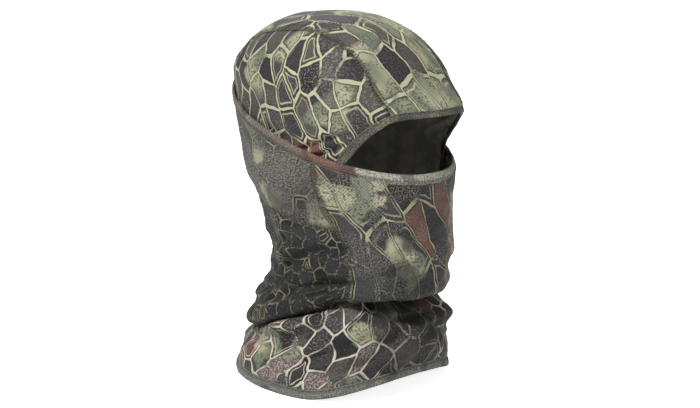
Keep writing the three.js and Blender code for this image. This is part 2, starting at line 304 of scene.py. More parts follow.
def tube_folds(angle, z):
    """How far the mask tube and skirt stand off the form, and how far they sag down, in mm."""
    w = z - edge_z("skirt", angle)
    side = np.abs(((angle + math.pi) % (2 * math.pi)) - math.pi)
    deg = np.degrees(side)
    a = AROUND * angle
    roll = step(deg, 42, 72) * (1 - 0.55 * step(deg, 112, 165))
    chin = 1 - step(deg, 40, 66)
    puff = 1 + 0.25 * ripple(a, 0 * a, 60, 3)
    # The roll over the skirt's seam, with the deep fold under it and a crease above it.
    out = roll * puff * (5.6 * bell((w - 8) / 4.8) - 9.0 * bell(w / 2.8) - 4.8 * bell((w - 19.0) / 4.0))
    out = out + roll * 2.2 * bell((w + 9) / 6)
    sag = -roll * 4.6 * bell((w - 4.5) / 4.6)
    # The chin's edge hangs over the fold, and the skirt rolls up in front of it.
    out = out + chin * (2.6 * bell((w - 10) / 6) - 5.0 * bell((w + 1) / 4.5) + 2.0 * bell((w + 25) / 12))
    sag = sag - chin * 3.4 * bell((w - 7) / 4.5)
    slot = 1 - step(deg, 20, 48)
    out = out - 12.5 * slot * step(w, -21, -13) * (1 - step(w, 0, 8))
    # The hollow beside the jaw, over the roll.
    out = out - 4.5 * bell((deg - 78) / 17) * bell((z - 101) / 9)
    out = out - 2.0 * bell((deg - 66) / 9) * bell((z - 118) / 10)
    for sign, shift in ((-1, 0.0), (1, LEFT_SHIFT)):
        here = step(sign * np.sign(angle), -0.5, 0.5)
        out = out + here * creases(TUBE_CREASES, sign * a, z, shift)
    loose = step(150 - z, -25, 30)
    out = out + (0.35 + 0.75 * loose) * ripple(a, z * 1.6, 34, 5) * 1.1
    out = out + 0.22 * ripple(a, z, 11, 6)
    # Near the hem and the base the bindings hold the cloth to the form.
    calm = step(edge_z("mask", angle) - z, 4, 26) * step(z - edge_z("base", angle), -2, 20)
    return out * (0.25 + 0.75 * calm), sag * calm


def seam_pinch(distance, along, depth=0.7):
    """The cloth dips at a seam and puckers beside it."""
    return -depth * bell(distance / 2.4) + 0.22 * bell(distance / 6) * np.sin(2 * math.pi * along / 7.5)


def angle_of_face_seam(z):
    half, mid, front, back = ring(z)
    y = face_y(z)
    facing = np.clip((mid - y) / front, 0, 1)
    return np.arccos(facing ** (1 / ROUNDNESS))


SIDE_SPREAD = 1.05  # arc length beside the face seam, in the form's half widths per radian
BACK_SPREAD = 75.0  # mm per radian at the back seam
SKIRT_SPREAD = 85.0  # and lower down, on the skirt


def seam_gap(angle, z):
    """mm behind the face seam, and below 0 on the face panel."""
    return (np.abs(angle) - angle_of_face_seam(z)) * ring(z)[0] * SIDE_SPREAD


def tube(angle, z):
    """The outer surface of the mask tube and skirt."""
    p = form(angle, z)
    d_angle = form(angle + 0.01, z) - form(angle - 0.01, z)
    # The fold under the chin is too tight to take its slope from, so the normal comes from a wider span.
    d_z = form(angle, z + 6) - form(angle, z - 6)
    n = unit(np.cross(d_angle, d_z))
    n[..., 2] *= 0.5
    out, sag = tube_folds(angle, z)
    seam = seam_gap(angle, z)
    above = step(z - edge_z("skirt", angle), 0, 6)
    out = out + above * seam_pinch(seam, z)
    band = z - edge_z("band", angle)
    out = out + step(seam, 0, 3) * seam_pinch(band, angle * 70)
    out = out + seam_pinch((math.pi - np.abs(angle)) * BACK_SPREAD, z, 0.6)
    p = p + n * out[..., None]
    p[..., 2] += sag
    return p


def cap_folds(p):
    """How far the cap stands off its own depth, in mm, at points on the form."""
    x, y, z = p[..., 0], p[..., 1], p[..., 2]
    fold = 0.0
    for sign, shift in ((-1, 0.0), (1, LEFT_SHIFT / 2)):
        fold = fold + step(sign * x, 20, 40) * creases(CAP_CREASES, y, z, shift)
    fold = fold + 0.55 * ripple(x + 0.4 * y, z - 0.5 * y, 48, 11) + 0.16 * ripple(x + y, z, 13, 12)
    return fold + seam_pinch(np.abs(x) - crown_x(y), y + z)


def cap_surface(p):
    """The cap's outer surface over points on the form."""
    return p + form_normal(p) * (cap_folds(p) - CAP_DEPTH)[..., None]


# ---------------------------------------------------------------- mesh tools


def grid_faces(rows, columns, wrap=False):
    """Quads of a rows x columns grid of points."""
    i = np.arange(rows - 1)[:, None] * columns
    j = np.arange(columns if wrap else columns - 1)[None, :]
    k = (j + 1) % columns
    return np.stack([i + j, i + k, i + columns + k, i + columns + j], -1).reshape(-1, 4).tolist()


SNAP = 0.3  # the share of an edge within which its end moves onto a cut


def clip(params, faces, field):
    """Keeps the side of a mesh where field is above 0, cutting along its zero line."""
    f = np.array(field, float)
    stack = np.stack([np.array(v, float) for v in params], 1)
    edges = {}
    for face in faces:
        for a, b in zip(face, face[1:] + face[:1]):
            if (f[a] > 0) != (f[b] > 0):
                edges[(min(a, b), max(a, b))] = None
    # Points close to the zero line move onto it, so that no sliver is left.
    snapped = set()
    for a, b in edges:
        t = f[a] / (f[a] - f[b])
        near = a if t < SNAP else b if t > 1 - SNAP else None
        if near is not None and near not in snapped:
            snapped.add(near)
            stack[near] = stack[a] * (1 - t) + stack[b] * t
    for near in snapped:
        f[near] = 0.0
    new = []
    count = len(stack)
    kept = []
    cut = {}
    for face in faces:
        values = [f[v] for v in face]
        if max(values) <= 0:
            continue
        if min(values) >= 0:
            kept.append(face)
            continue
        loop = []
        for a, b in zip(face, face[1:] + face[:1]):
            if f[a] >= 0:
                loop.append(a)
            if f[a] * f[b] < 0:
                key = (min(a, b), max(a, b))
                if key not in cut:
                    t = f[a] / (f[a] - f[b])
                    cut[key] = count + len(new)
                    new.append(stack[a] * (1 - t) + stack[b] * t)
                loop.append(cut[key])
        if len(loop) >= 3:
            kept.append(loop)
    if new:
        stack = np.vstack([stack, np.array(new)])
    used = sorted({v for face in kept for v in face})
    index = {v: i for i, v in enumerate(used)}
    stack = stack[used]
    return [stack[:, i] for i in range(stack.shape[1])], [[index[v] for v in face] for face in kept]


def make_mesh(name, points, faces, uv, outward=None):
    """points in mm. uv is the cloth's own coordinates in mm, one pair per point."""
    mesh = bpy.data.meshes.new(name)
    placed = (np.asarray(points) + np.array([0, CENTRING, -RESTING_PLANE])) * MM
    mesh.from_pydata(placed.tolist(), [], [list(map(int, f)) for f in faces])
    mesh.update()
    if outward is not None:
        flip_to(mesh, np.asarray(outward))
    layer = mesh.uv_layers.new(name="cloth")
    loops = np.empty(len(mesh.loops), int)
    mesh.loops.foreach_get("vertex_index", loops)
    layer.data.foreach_set("uv", np.asarray(uv, np.float32)[loops].ravel())
    mesh.shade_smooth()
    thing = bpy.data.objects.new(name, mesh)
    bpy.context.scene.collection.objects.link(thing)
    return thing


def flip_to(mesh, outward):
    """Turns the faces over if most of them look against the outward directions."""
    total = 0.0
    for face in mesh.polygons:
        total += float(np.dot(np.array(face.normal), outward[face.vertices[0]])) * face.area
    if total < 0:
        mesh.flip_normals()


def face_out(thing):
    """Makes a closed mesh's faces look outwards."""
    work = bmesh.new()
    work.from_mesh(thing.data)
    bmesh.ops.recalc_face_normals(work, faces=work.faces)
    if work.calc_volume(signed=True) < 0:
        bmesh.ops.reverse_faces(work, faces=work.faces)
    work.to_mesh(thing.data)
    work.free()


def apply_modifiers(thing):
    deps = bpy.context.evaluated_depsgraph_get()
    final = bpy.data.meshes.new_from_object(thing.evaluated_get(deps))
    old = thing.data
    thing.modifiers.clear()
    thing.data = final
    bpy.data.meshes.remove(old)


def sheet(name, points, faces, uv, outward):
    """A layer of cloth: points is its outer face. Its slots are the face, the reverse and the cut edge."""
    thing = make_mesh(name, points, faces, uv, outward)
    for _ in range(3):
        thing.data.materials.append(None)
    solid = thing.modifiers.new("cloth", "SOLIDIFY")
    solid.thickness = CLOTH * MM
    solid.offset = -1
    solid.use_even_offset = False
    solid.material_offset = 1
    solid.material_offset_rim = 2
    apply_modifiers(thing)
    return thing


def swept(frames, closed):
    """A solid bar. frames is rows x profile points already placed; the ends are capped unless closed."""
    rows, sides = frames.shape[:2]
    faces = grid_faces(rows + closed, sides, wrap=True)
    if closed:
        faces = [[v % (rows * sides) for v in face] for face in faces]
    else:
        faces += [list(range(sides))[::-1], list(range((rows - 1) * sides, rows * sides))]
    return frames.reshape(-1, 3), faces


# ---------------------------------------------------------------- the mask tube and skirt

COLUMNS = 252
SEAM_HALF = 0.04  # from a seam line to each panel's edge
PRINT_SPREAD = 76.0  # mm of print per radian round the tube


def tube_piece(name, low, high, rows, fields, low_pack=1.0, high_pack=1.0):
    """A sheet between two heights, cut by fields(angle, z) > 0. The packs gather rows at an edge."""
    angle = np.linspace(-math.pi, math.pi, COLUMNS + 1)
    share = np.linspace(0, 1, rows)
    share = share ** low_pack if high_pack == 1.0 else 1 - (1 - share) ** high_pack
    a, s = np.meshgrid(angle, share)
    bottom, top = low(a), high(a)
    z = bottom + (top - bottom) * s
    params = [a.ravel(), z.ravel()]
    faces = grid_faces(*a.shape)
    for field in fields:
        params, faces = clip(params, faces, field(*params))
    a, z = params
    outward = form(a, z) * np.array([1, 1, 0])
    return sheet(name, tube(a, z), faces, np.stack([a * PRINT_SPREAD, z], -1), outward)


def beside_edge(name, gap):
    """A height that stays gap mm above an edge or a seam."""
    return lambda angle: edge_z(name, angle) + gap


above_skirt, below_hem = beside_edge("skirt", SEAM_HALF), beside_edge("mask", UNDER_BINDING - EDGE)


def back_gap(a, spread=BACK_SPREAD):
    return (math.pi - np.abs(a)) * spread - SEAM_HALF


face_panel = tube_piece("face_panel_mesh", above_skirt, below_hem, 74,
                        [lambda a, z: -seam_gap(a, z) - SEAM_HALF], low_pack=1.25)
upper = []
for side, sign in SIDES:
    own_side = [lambda a, z, s=sign: np.minimum(s * a, back_gap(a)), lambda a, z: seam_gap(a, z) - SEAM_HALF]
    ear = tube_piece(f"ear_band_{side}_cloth", beside_edge("band", SEAM_HALF), below_hem, 44, own_side)
    neck = tube_piece(f"neck_panel_{side}_cloth", above_skirt, beside_edge("band", -SEAM_HALF), 64, own_side,
                      low_pack=1.35)
    upper += [(ear, f"ear_band_{side}"), (neck, f"neck_panel_{side}")]
skirt = tube_piece("neck_skirt_cloth", beside_edge("base", EDGE - 0.8), beside_edge("skirt", -SEAM_HALF), 44,
                   [lambda a, z: back_gap(a, SKIRT_SPREAD)], high_pack=1.35)

# ---------------------------------------------------------------- the cap


def on_slice(x, phi):
    """The form's surface on the plane at x, where a ray at angle phi from the skull's middle leaves it.

    phi is 0 to the front and 90 degrees straight up.
    """
    direction = np.stack([0 * phi, -np.cos(phi), np.sin(phi)], -1)
    origin = np.stack([x, SKULL[1] + 0 * x, SKULL[2] + 0 * x], -1)
    return cast(origin, direction)


def seam_points(phi, sign, extra=0.0):
    """Where the crown seam crosses the slices at phi, by repeated correction."""
    x = np.full(phi.shape, 43.0)
    for _ in range(8):
        p = on_slice(sign * x, phi)
        x = crown_x(p[..., 1]) + extra
    return on_slice(sign * x, phi)


def brow_side(p, inset):
    """Above 0 on the cap's side of the brow edge, inset mm in from it."""
    y, z = p[..., 1], p[..., 2]
    flat = np.stack([y.ravel(), z.ravel()], -1)
    best = np.full(len(flat), 1e9)
    signed = np.zeros(len(flat))
    for start, end in zip(brow_line[:-1], brow_line[1:]):
        run = end - start
        length = np.linalg.norm(run)
        run = run / length
        d = flat - start
        t = np.clip(d @ run, 0, length)
        off = d - t[:, None] * run
        distance = np.hypot(off[:, 0], off[:, 1])
        turn = run[0] * d[:, 1] - run[1] * d[:, 0]
        closer = distance < best
        best = np.where(closer, distance, best)
        signed = np.where(closer, np.where(turn > 0, distance, -distance), signed)
    return signed.reshape(y.shape) - inset


def cap_low(p):
    """Above 0 over the cap's lower edge, which lies just above the ear band's lower seam."""
    return p[..., 2] - (along_y(band_line, p[..., 1]) + 2)


FIRST, BACK = math.radians(5), math.radians(222)  # where the centre panel starts and ends, round the skull


def cap_piece(name, base, faces, uv_of):
    params = [base[..., k].ravel() for k in range(3)]
    for field in (lambda p: brow_side(p, EDGE - UNDER_BROW), cap_low):
        params, faces = clip(params, faces, field(np.stack(params, -1)))
    p = onto_form(np.stack(params, -1))
    return sheet(name, cap_surface(p), faces, uv_of(p), p - SKULL)


phi = np.linspace(FIRST, BACK, 150)
across = np.linspace(-1, 1, 46)
half_width = np.abs(seam_points(phi, 1)[:, 0]) - SEAM_HALF
grid_phi, grid_across = np.meshgrid(phi, across, indexing="ij")
centre_base = on_slice(grid_across * half_width[:, None], grid_phi)


def centre_uv(p):
    turn = np.arctan2(p[..., 2] - SKULL[2], -(p[..., 1] - SKULL[1]))
    turn = np.where(turn < -2, turn + 2 * math.pi, turn)
    return np.stack([p[..., 0], turn * 96.0], -1)


def side_uv(p):
    return np.stack([p[..., 1], p[..., 2]], -1)


crown_center = cap_piece("crown_center_cloth", centre_base, grid_faces(*grid_phi.shape), centre_uv)
crown_sides = []
for side, sign in SIDES:
    # Rings that close in from the seam on a point at the side of the head.
    rim_phi = np.linspace(0, 2 * math.pi, 200, endpoint=False) + FIRST
    toward = unit(seam_points(rim_phi, sign, SEAM_HALF) - SKULL)
    pole = np.array([sign, 0.0, 0.0])
    share = np.linspace(0, 1, 38)[:-1, None, None]
    rings = cast(SKULL, unit(toward[None] * (1 - share) + pole * share))
    base = np.vstack([rings.reshape(-1, 3), cast(SKULL, pole[None])])
    rows, columns = rings.shape[:2]
    last = (rows - 1) * columns
    faces = grid_faces(rows, columns, wrap=True)
    faces += [[last + k, last + (k + 1) % columns, len(base) - 1] for k in range(columns)]
    crown_sides.append((cap_piece(f"crown_side_{side}_cloth", base, faces, side_uv), f"crown_side_panel_{side}"))

# ---------------------------------------------------------------- bindings

# Half of a folded binding's section: distance from the folded edge, and height over the cloth's middle.
FOLD_SECTION = [(8.2, 0.25), (7.6, 0.75), (6.4, 0.8), (5.2, 1.05), (3.4, 1.25), (1.6, 1.15), (0.5, 0.75), (0.0, 0.0),
                (0.5, -0.75), (1.8, -1.1), (3.6, -1.15), (6.2, -1.0), (7.8, -0.75), (8.2, -0.3)]
FOLD_TOP = np.array(FOLD_SECTION[7::-1])  # its upper half, from the folded edge in
BINDING_STEP = 1.6
DITCH = 6.4  # how far in the stitching pulls the binding down


def evenly(points, spacing):
    """Points resampled at even spacing along their line, and where they lie along it."""
    lengths = lengths_along(points)
    count = max(int(round(lengths[-1] / spacing)), 2)
    at = np.linspace(0, lengths[-1], count + 1)
    return np.stack([np.interp(at, lengths, points[:, k]) for k in range(points.shape[1])], -1), at


def binding_height(b, h, s):
    """The section's height with its stitched ditch and the small puckers along it."""
    ditch = 0.22 * bell((b - DITCH) / 0.9) + 0.06
    pucker = 0.10 * np.sin(2 * math.pi * s / 3.1) * bell((b - 5.6) / 2.4) + 0.12 * np.sin(2 * math.pi * s / 17.0)
    return h + np.where(h > 0, pucker - ditch * np.abs(np.sin(math.pi * s / 3.1)), 0)


def tape(name, rings, s, closed):
    """A folded binding from its section's points, each a line of points along it at lengths s."""
    points, faces = swept(np.stack(rings, 1), closed)
    across = [b if h >= 0 else -b for b, h in FOLD_SECTION]
    uv = np.stack([np.repeat(s, len(FOLD_SECTION)), np.tile(across, len(s))], -1)
    thing = make_mesh(name, points, faces, uv)
    face_out(thing)
    return thing


def tube_normals(angle, z):
    d_a = tube(angle + 0.012, z) - tube(angle - 0.012, z)
    d_z = tube(angle, z + 1.5) - tube(angle, z - 1.5)
    return unit(np.cross(d_a, d_z))


def tube_binding(name, edge, into):
    """A folded binding round the tube. edge names its line, and into is +1 if the cloth lies above it."""
    angle = np.linspace(-math.pi, math.pi, 2400, endpoint=False)
    path = tube(angle, edge_z(edge, angle))
    both, s = evenly(np.hstack([path, angle[:, None]]), BINDING_STEP)
    angle, s = both[:-1, 3], s[:-1]
    rings = []
    for b, h in FOLD_SECTION:
        z = edge_z(edge, angle) + into * (b + 0.02)
        rings.append(tube(angle, z) + tube_normals(angle, z) * (binding_height(b, h, s) - CLOTH / 2)[:, None])
    return tape(name, rings, s, True)


mask_hem = tube_binding("mask_hem_binding", "mask", -1)
base_binding = tube_binding("bottom_edge_binding", "base", 1)


def brow_curve():
    """The brow edge on the form, from behind the right cheek over the brow to behind the left."""
    line = spline(BROW, 3000)
    half, mid, front, back = ring(line[:, 1])
    facing = (mid - line[:, 0]) / front
    on = facing < 1
    line, facing, half = line[on], facing[on], half[on]
    n = 2 / ROUNDNESS
    x = half * (1 - facing ** n) ** (1 / n)
    left = np.stack([x, line[:, 0], line[:, 1]], -1)
    left = left[left[:, 2] > along_y(band_line, left[:, 1]) + 2]
    return np.vstack([left[::-1] * np.array([-1, 1, 1]), left])


def towards_cap(curve):
    """Directions across a curve on the form, towards the cap."""
    tangent = np.gradient(curve, axis=0)
    for _ in range(3):
        tangent[1:-1] = (tangent[:-2] + 2 * tangent[1:-1] + tangent[2:]) / 4
    inward = unit(np.cross(form_normal(curve), unit(tangent)))
    return inward if inward[len(curve) // 2, 2] > 0 else -inward


full_brow = evenly(brow_curve(), BINDING_STEP)[0]
brow_inward = towards_cap(full_brow)


def cap_binding(name, rows):
    """The part of the brow's folded binding at some rows of its line."""
    curve, inward = full_brow[rows], brow_inward[rows]
    s = rows * BINDING_STEP
    rings = []
    for b, h in FOLD_SECTION:
        p = onto_form(curve + inward * b)
        height = cap_folds(p) - CAP_DEPTH - CLOTH / 2 + binding_height(b, h, s)
        rings.append(p + form_normal(p) * height[:, None])
    return tape(name, rings, s, False)


rows = np.arange(len(full_brow))
brow_rows = rows[full_brow[:, 2] >= TEMPLE_TOP]
brow_binding = cap_binding("brow_edge_binding", brow_rows)
cheeks = []
for side, sign in SIDES:
    mine = rows[(full_brow[:, 2] <= TEMPLE_TOP) & (sign * full_brow[:, 0] > 0)]
    cheeks.append((cap_binding(f"cheek_leg_binding_{side}", mine), f"cheek_binding_{side}"))

# ---------------------------------------------------------------- threads

THREAD_SIDES = 5
STITCH = np.array([0.12, 0.3, 0.7, 0.88])  # where the four points of one stitch lie in its pitch


def thread(name, paths, radius):
    """Round thread along each path of points, all in one mesh."""
    points, faces, uv = [], [], []
    turn = np.linspace(0, 2 * math.pi, THREAD_SIDES, endpoint=False)
    offset = 0
    for path in paths:
        tangent = unit(np.gradient(path, axis=0))
        up = np.array([0.0, 0.0, 1.0]) + 0 * tangent
        up[np.abs(tangent[:, 2]) > 0.9] = np.array([1.0, 0.0, 0.0])
        b = unit(np.cross(tangent, up))
        c = np.cross(b, tangent)
        size = np.full(len(path), radius)
        size[0] = size[-1] = radius * 0.5
        ring_points = path[:, None] + size[:, None, None] * (
            b[:, None] * np.cos(turn)[None, :, None] + c[:, None] * np.sin(turn)[None, :, None])
        p, f = swept(ring_points, False)
        faces += [[v + offset for v in face] for face in f]
        offset += len(p)
        points.append(p)
        uv.append(np.stack([np.repeat(lengths_along(path), THREAD_SIDES), np.tile(turn, len(path))], -1))
    thing = make_mesh(name, np.vstack(points), faces, np.vstack(uv))
    face_out(thing)
    return thing


def stitches(surface, count, pitch, b, lift):
    """Paths of separate stitches in a row, b mm beside the line."""
    at = (STITCH[None, :] + np.arange(count)[:, None]) * pitch
    p, n = surface(at.ravel(), np.full(at.size, b))
    path = p + n * np.tile(lift, count)[:, None]
    return list(path.reshape(count, 4, 3))


def flatlock(name, surface, length, width=3.6, pitch=2.6, lift=0.45):
    """A flatlock seam's cover: a zigzag looper and two needle rows. surface(s, b) gives points and normals."""
    count = int(length / pitch)
    s = np.linspace(0.6, length - 0.6, count * 4 + 1)
    wave = np.array([-1, -0.2, 1, 0.2])
    p, n = surface(s, wave[np.arange(len(s)) % 4] * width / 2)
    paths = [p + n * lift]
    for row in (-1, 1):
        rise = lift + np.array([-0.1, 0.25, 0.25, -0.1])
        paths += stitches(surface, count, length / count, row * width / 2, rise)
    return thread(name, paths, 0.27)


def needle_rows(name, surface, length, offsets, pitch=2.9, lift=0.18):
    """Rows of separate lockstitches."""
    paths = []
    count = int(length / pitch)
    for b in offsets:
        paths += stitches(surface, count, length / count, b, lift + np.array([-0.25, 0.08, 0.08, -0.25]))
    return thread(name, paths, 0.24)


def line_surface(curve, place):
    """surface(s, b) along a dense line of parameters. place(params, b) gives points and normals."""
    points, _ = place(curve, np.zeros(len(curve)))
    lengths = lengths_along(points)

    def surface(s, b):
        at = np.stack([np.interp(s, lengths, curve[:, k]) for k in range(curve.shape[1])], -1)
        return place(at, b)

    return surface, lengths[-1]


def place_vertical(at, b):
    """Beside a steep line of the tube, b mm round it."""
    angle, z = at[:, 0] + b / (ring(at[:, 1])[0] * SIDE_SPREAD), at[:, 1]
    return tube(angle, z), tube_normals(angle, z)


def place_level(at, b):
    """Above a level line of the tube by b mm."""
    angle, z = at[:, 0], at[:, 1] + b
    return tube(angle, z), tube_normals(angle, z)


def place_cap(at, b):
    """Beside the crown seam, on the cap."""
    p = on_slice(at[:, 0] + b * np.sign(at[:, 0]), at[:, 1])
    return cap_surface(p), form_normal(p)


def place_hem(edge, into):
    """A placing on a tube binding's upper face."""
    def place(at, b):
        z = edge_z(edge, at[:, 0]) + into * b
        lift = np.interp(b, *FOLD_TOP.T) - CLOTH / 2
        p, n = tube(at[:, 0], z), tube_normals(at[:, 0], z)
        return p + n * lift[:, None], n
    return place


def place_brow(at, b):
    """A placing on the brow binding's upper face, by its rows."""
    curve, inward = (np.stack([np.interp(at[:, 0], rows, v[:, k]) for k in range(3)], -1)
                     for v in (full_brow, brow_inward))
    p = onto_form(curve + inward * b[:, None])
    n = form_normal(p)
    return p + n * (cap_folds(p) - CAP_DEPTH - CLOTH / 2 + np.interp(b, *FOLD_TOP.T))[:, None], n


threads = []


def sew(kind, name, node, line, place, **look):
    surface, length = line_surface(line, place)
    threads.append((kind(name, surface, length, **look), node))


for side, sign in SIDES:
    z = np.linspace(198, 86, 200)
    angle = sign * angle_of_face_seam(z)
    keep = (z < edge_z("mask", angle) - EDGE - 0.4) & (z > edge_z("skirt", angle) + 1.5)
    sew(flatlock, f"face_seam_flatlock_{side}", f"face_seam_thread_{side}",
        np.stack([angle, z], -1)[keep], place_vertical)

    angle = np.linspace(math.radians(30), math.pi - 0.045, 500)
    z = edge_z("band", angle)
    keep = (angle - angle_of_face_seam(z)) * 70 > 3.0
    sew(flatlock, f"band_seam_flatlock_{side}", f"band_seam_thread_{side}",
        np.stack([sign * angle, z], -1)[keep], place_level)

    phi = np.linspace(FIRST, BACK, 600)
    p = seam_points(phi, sign)
    keep = (brow_side(p, EDGE + 0.8) > 0) & (cap_low(p) > 0.5)
    sew(flatlock, f"crown_seam_flatlock_{side}", f"crown_seam_thread_{side}",
        np.stack([p[:, 0], phi], -1)[keep], place_cap, width=4.0)

BACK_MIDDLE = np.array(math.pi)
skirt_top = edge_z("skirt", BACK_MIDDLE)
for name, low, high, count in (("back_seam", skirt_top + 3, edge_z("mask", BACK_MIDDLE) - EDGE - 1, 200),
                               ("skirt_back_seam", RESTING_PLANE + EDGE + 1, skirt_top - 3, 80)):
    z = np.linspace(low, high, count)
    sew(flatlock, f"{name}_flatlock", f"{name}_thread", np.stack([np.full(count, math.pi), z], -1), place_vertical)

angle = np.linspace(-math.pi, math.pi, 1600)
sew(needle_rows, "skirt_seam_stitches", "skirt_seam_thread", np.stack([angle, edge_z("skirt", angle)], -1),
    place_level, offsets=(0.0,))
STITCH_ROWS = (5.5, 7.2)  # mm in from a binding's folded edge
sew(needle_rows, "mask_hem_stitches", "mask_hem_stitching", angle[:, None], place_hem("mask", -1),
    offsets=STITCH_ROWS)
sew(needle_rows, "bottom_edge_stitches", "bottom_stitching", angle[:, None], place_hem("base", 1),
    offsets=STITCH_ROWS)
span = np.linspace(brow_rows[0] + 5, brow_rows[-1] - 5, 600)
sew(needle_rows, "brow_edge_stitches", "brow_stitching", span[:, None], place_brow, offsets=STITCH_ROWS)

# ---------------------------------------------------------------- materials

TONE = 0.92  # how dark the dyes are, for the light on the stage


def dye(red, green, blue, tone=TONE):
    """A linear colour from the 0-255 display values it should be seen with."""
    linear = [c / 12.92 if c <= 0.04045 else ((c + 0.055) / 1.055) ** 2.4 for c in
              (red / 255, green / 255, blue / 255)]
    return (*[c * tone for c in linear], 1.0)


class Graph:
    """Short calls for building one material's nodes."""

    def __init__(self, name):
        self.material = bpy.data.materials.new(name)
        self.material.use_nodes = True
        self.tree = self.material.node_tree
        self.shader = self.tree.nodes["Principled BSDF"]

    def put(self, socket, value):
        if isinstance(value, bpy.types.NodeSocket):
            self.tree.links.new(value, socket)
        else:
            socket.default_value = value

    def node(self, kind, inputs=(), **settings):
        made = self.tree.nodes.new(kind)
        for key, value in settings.items():
            setattr(made, key, value)
        for key, value in dict(inputs).items():
            self.put(made.inputs[key], value)
        return made

    def math(self, operation, a, b=0.0, c=0.0):
        return self.node("ShaderNodeMath", {0: a, 1: b, 2: c}, operation=operation).outputs[0]

    def times(self, a, b):
        return self.math("MULTIPLY", a, b)

    def scaled(self, a, factor, shift):
        return self.math("MULTIPLY_ADD", a, factor, shift)

    def inverse(self, a):
        return self.math("SUBTRACT", 1.0, a)

    def vector(self, operation, a, b):
        return self.node("ShaderNodeVectorMath", {0: a, 1: b}, operation=operation).outputs[0]

    def mix(self, share, a, b):
        return self.node("ShaderNodeMix", {0: share, 6: a, 7: b}, data_type="RGBA").outputs[2]

    def rise(self, value, low, high):
        """0 below low, 1 above high and smooth between them. high below low turns it round."""
        inputs = {"Value": value, "From Min": low, "From Max": high}
        return self.node("ShaderNodeMapRange", inputs, interpolation_type="SMOOTHSTEP").outputs[0]

    def noise(self, at, size, detail=2.0, seed=0.0, output=0):
        """Noise whose patches are about size mm across."""
        moved = self.vector("ADD", at, (seed * 131.0, seed * 57.0, 0.0))
        inputs = {"Vector": moved, "Scale": 1.0 / size, "Detail": detail, "Roughness": 0.55}
        return self.node("ShaderNodeTexNoise", inputs, noise_dimensions="2D").outputs[output]

    def patches(self, at, size, detail, seed, low, high):
        """Noise that rises from 0 to 1 between two of its values."""
        return self.rise(self.noise(at, size, detail, seed), low, high)

    def paint_gap_shade(self, color, height, share, dark):
        """Painted shade: the colour, darker where the height is low, in the hollows between yarns."""
        return self.mix(self.times(self.inverse(height), share), color, dark)

    def bands(self, value, colors):
        """Flat bands of colour, all of the same width."""
        made = self.node("ShaderNodeValToRGB", {0: value})
        band = made.color_ramp
        band.interpolation = "CONSTANT"
        while len(band.elements) < len(colors):
            band.elements.new(0.5)
        for i, (element, color) in enumerate(zip(band.elements, colors)):
            element.position = i / len(colors)
            element.color = color
        return made.outputs[0]

    def finish(self, color, height, depth_mm, roughness=(0.48, 0.66), sheen=0.02):
        """Sends colour, bump and roughness to the shader."""
        self.put(self.shader.inputs["Base Color"], color)
        bump = self.node("ShaderNodeBump", {"Strength": 1.0, "Distance": depth_mm * MM, "Height": height})
        self.put(self.shader.inputs["Normal"], bump.outputs[0])
        low, high = roughness
        self.put(self.shader.inputs["Roughness"], self.scaled(height, low - high, high))
        self.put(self.shader.inputs["Sheen Weight"], sheen)
        self.put(self.shader.inputs["Sheen Roughness"], 0.6)
        self.put(self.shader.inputs["Specular IOR Level"], 0.22)
        return self.material


def cloth_axes(g):
    """The cloth's own coordinates in mm: the vector, and its two parts."""
    at = g.node("ShaderNodeUVMap", uv_map="cloth").outputs[0]
    parts = g.node("ShaderNodeSeparateXYZ", {0: at})
    return at, parts.outputs[0], parts.outputs[1]


def waves(g, value, pitch, phase=0.0):
    """A wave from 0 to 1 along a length in mm."""
    turned = g.scaled(value, 2 * math.pi / pitch, phase)
    return g.scaled(g.math("SINE", turned), 0.5, 0.5)


def jersey(g, u, v, wale=1.05, course=0.85):
    """Knitted ribs crossed by rows of loops. 1 is the top of a yarn and 0 the gap beside it."""
    rib = waves(g, u, wale)
    loop = waves(g, g.math("ADD", v, g.times(rib, course * 0.4)), course)
    return g.times(g.math("POWER", rib, 0.6), g.scaled(loop, 0.55, 0.45))


def birdseye(g, u, v, pitch=2.5):
    """A knit of small diamonds with a pinhole in each."""
    return g.inverse(g.times(waves(g, g.math("ADD", u, v), pitch), waves(g, g.math("SUBTRACT", u, v), pitch)))


CHARCOAL, INK, SLATE, BARK = dye(47, 44, 48), dye(20, 19, 23), dye(64, 62, 66), dye(90, 83, 77)
MOSS, SAGE, KHAKI, RUST = dye(78, 79, 68), dye(134, 141, 119), dye(190, 188, 154), dye(124, 82, 72)
SHELL, CORD, CREAM, SAND = dye(204, 180, 174), dye(206, 205, 170), dye(224, 216, 196), dye(166, 158, 146)
# Of the next line's colours, the third is painted shade for the knit's gaps. The last darkens whole pieces and also
# the painted shade in the print.
SALT, WORN, GAP_SHADE, DEEP = dye(158, 157, 146), dye(24, 23, 26), dye(18, 18, 19), dye(8, 8, 9)


